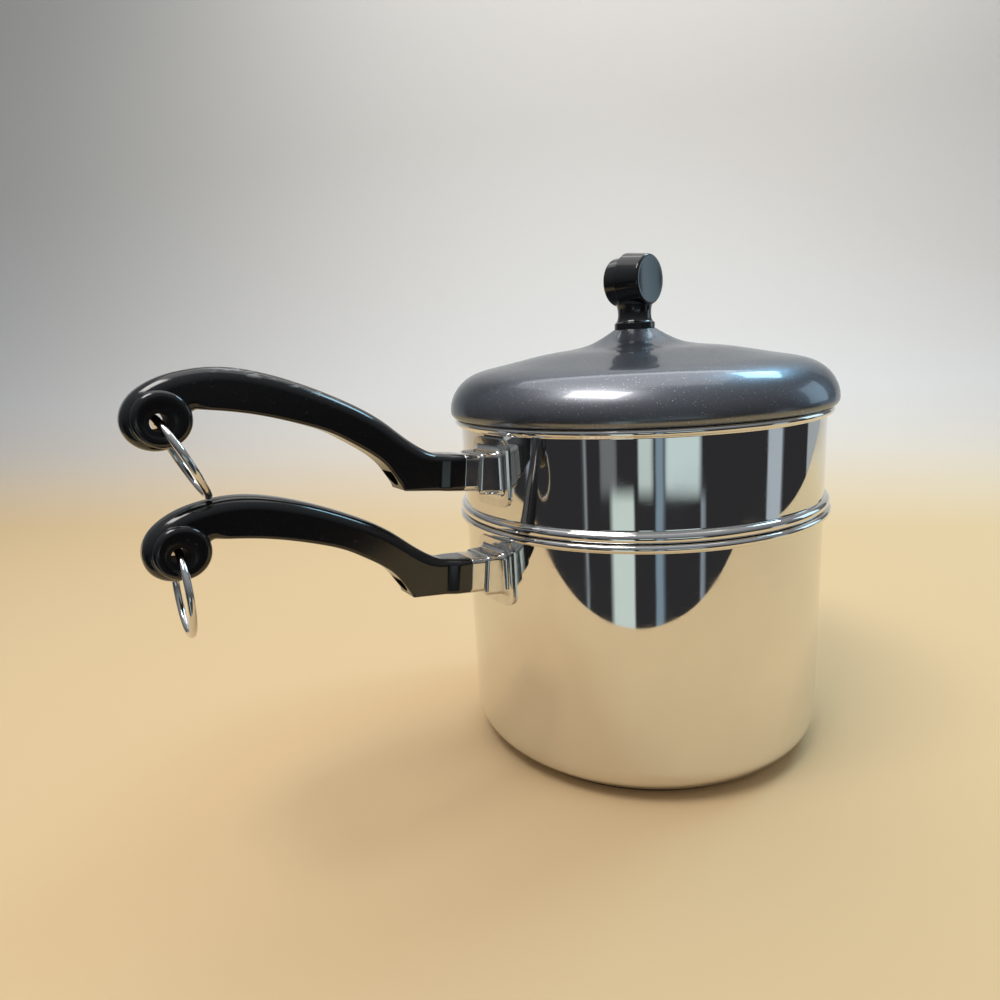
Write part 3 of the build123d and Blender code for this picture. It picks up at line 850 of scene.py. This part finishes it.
def make_floor():
    """Pale floor that sweeps up to a backdrop, tan near the pans."""
    away = Vector((-camera_place.x, -camera_place.y, 0)).normalized()
    aside = Vector((away.y, -away.x, 0))
    shape = bmesh.new()
    profile = [
        away * floor_near, away * floor_far, away * floor_far + Vector((0, 0, backdrop_height)),
    ]
    verts = [shape.verts.new(point - aside * floor_half_width) for point in profile]
    for pair in zip(verts, verts[1:]):
        shape.edges.new(pair)
    bmesh.ops.bevel(
        shape, geom=[verts[1]], offset=backdrop_sweep, offset_type="OFFSET", segments=SWEEP_STEPS,
        profile=0.5, affect="VERTICES", material=-1,
    )
    wide = bmesh.ops.extrude_edge_only(shape, edges=shape.edges[:])
    moved = [part for part in wide["geom"] if isinstance(part, bmesh.types.BMVert)]
    bmesh.ops.translate(shape, verts=moved, vec=aside * floor_half_width * 2)
    for azimuth, reach in floor_sides:
        bmesh.ops.bisect_plane(
            shape, geom=shape.verts[:] + shape.edges[:] + shape.faces[:], clear_outer=True,
            plane_co=compass(azimuth) * reach, plane_no=compass(azimuth),
        )
    bmesh.ops.recalc_face_normals(shape, faces=shape.faces[:])
    for face in shape.faces:
        face.smooth = True
    paper = Finish("pale_floor", {"Roughness": 0.9})
    place = paper.parts(paper.place)
    beyond = paper.ramp(paper.math("ADD", place["X"], place["Y"]), *floor_turn, 0.0, 1.0)
    paper.link(paper.mixed(beyond, floor_tan, floor_pale), "Base Color")
    loose("floor", shape, paper.material)


def softbox(name, azimuth, elevation, distance, size, glow, colour=(1, 1, 1), aim=(0, 0, 0.12)):
    """Area lamp of a width and height, at an azimuth and an elevation in degrees, facing a point. Glow is
    its brightness, whatever its size."""
    way = compass(azimuth, elevation)
    lamp = bpy.data.lights.new(name, "AREA")
    lamp.shape = "RECTANGLE"
    lamp.size, lamp.size_y = size
    lamp.energy = glow * size[0] * size[1] * math.pi
    lamp.color = colour
    light = bpy.data.objects.new(name, lamp)
    bpy.context.scene.collection.objects.link(light)
    facing = way.to_track_quat("Z", "Y").to_matrix().to_4x4()
    light.matrix_world = Matrix.Translation(Vector(aim) + way * distance) @ facing
    # The pans show the lamps, the camera doesn't
    light.visible_camera = False


def make_lights():
    """Soft lamps: two whose glints the lid shows, one overhead, one low and one on the backdrop."""
    softbox("key_box", -169, 62, 1.1, (0.50, 0.34), 9.5, (1.0, 0.96, 0.92))
    softbox("side_box", -6, 48, 1.1, (0.30, 0.28), 12.0, (0.42, 0.78, 1.0))
    softbox("top_box", 60, 78, 1.3, (1.5, 1.1), 1.0, (1.0, 0.98, 0.96))
    softbox("window_box", -21, 13, 0.95, (0.34, 0.40), 1.3, (0.60, 0.84, 1.0))
    softbox("backdrop_box", -130, 60, 1.0, (1.8, 0.6), 1.9, aim=(1.04, 1.08, 0.6))


def panelled(air, turn, panels, between):
    """Surroundings of one colour with soft-edged upright panels round them."""
    node = air.add("ShaderNodeValToRGB", Fac=turn)
    stops = node.color_ramp.elements
    stops[0].color = stops[1].color = (*between, 1)
    for azimuth, width, colour in panels:
        for side in (-1, 1):
            for softness, shade in ((panel_softness, between), (-panel_softness, colour)):
                stop = stops.new((azimuth + side * (width / 2 + softness) + 180) / 360)
                stop.color = (*shade, 1)
    return node.outputs["Color"]


def make_studio_air():
    """World with a pale ceiling that dims to the horizon. Below it the metal sees dark and the panels,
    which the camera doesn't see, as it doesn't see the lamps."""
    world = bpy.data.worlds.new("studio")
    world.use_nodes = True
    air = Shading(world.node_tree, "Generated")
    way = air.parts(air.place)
    turn = air.ramp(air.math("ARCTAN2", way["Y"], way["X"]), -math.pi, math.pi, 0.0, 1.0)
    rise = way["Z"]
    low = panelled(air, turn, low_panels, no_light)
    high = panelled(air, turn, high_panels, no_light)
    short = air.mixed(air.ramp(rise, *panel_change, 0.0, 1.0), low, high)
    tall = panelled(air, turn, tall_panels, studio_dark)
    walls = air.add("ShaderNodeMix", {"data_type": "RGBA", "blend_type": "ADD"}, _0=1.0, _6=tall, _7=short)
    above = air.mixed(air.ramp(rise, 0.0, 1.0, 0.0, 1.0), studio_horizon, studio_ceiling)
    shade = air.mixed(air.ramp(rise, *wall_top, 0.0, 1.0), walls.outputs[2], above)
    shade = air.mixed(air.add("ShaderNodeLightPath").outputs["Is Camera Ray"], shade, above)
    air.tree.links.new(shade, air.tree.nodes["Background"].inputs["Color"])
    bpy.context.scene.world = world


steel = mirror_steel()
satin = satin_steel_painted_shade()
phenolic = black_phenolic("black_phenolic")
bored_phenolic = Finish("bored_phenolic", {
    "Base Color": (0.008, 0.008, 0.009, 1), "Roughness": 0.6, "Specular IOR Level": 0.15,
}).material
handle_finish = {"lower": phenolic, "upper": black_phenolic("rubbed_phenolic", *rubbed_stretch)}
bracket_steel = polished_steel("bracket_steel", 0.07, 0.03 * MM)
ring_steel = polished_steel("ring_steel", 0.05, 0.02 * MM)
aluminium = dull_metal("base_aluminium", (0.30, 0.29, 0.28), (0.14, 0.13, 0.12), 0.42)
zinc = dull_metal("zinc_plate", (0.60, 0.61, 0.62), (0.45, 0.45, 0.46), 0.25)
brass = dull_metal("insert_brass", (0.72, 0.55, 0.28), (0.58, 0.42, 0.20), 0.28)

make_base_cladding()
make_lower_pan()
make_upper_pan()
make_lid()
make_knob()
make_handle_set("lower")
make_handle_set("upper")
paint("knob_insert", brass)
paint("knob_washer", zinc)
paint("knob_screw", zinc)
make_camera()
make_floor()
make_lights()
make_studio_air()
bpy.context.scene.view_settings.view_transform = "Standard"
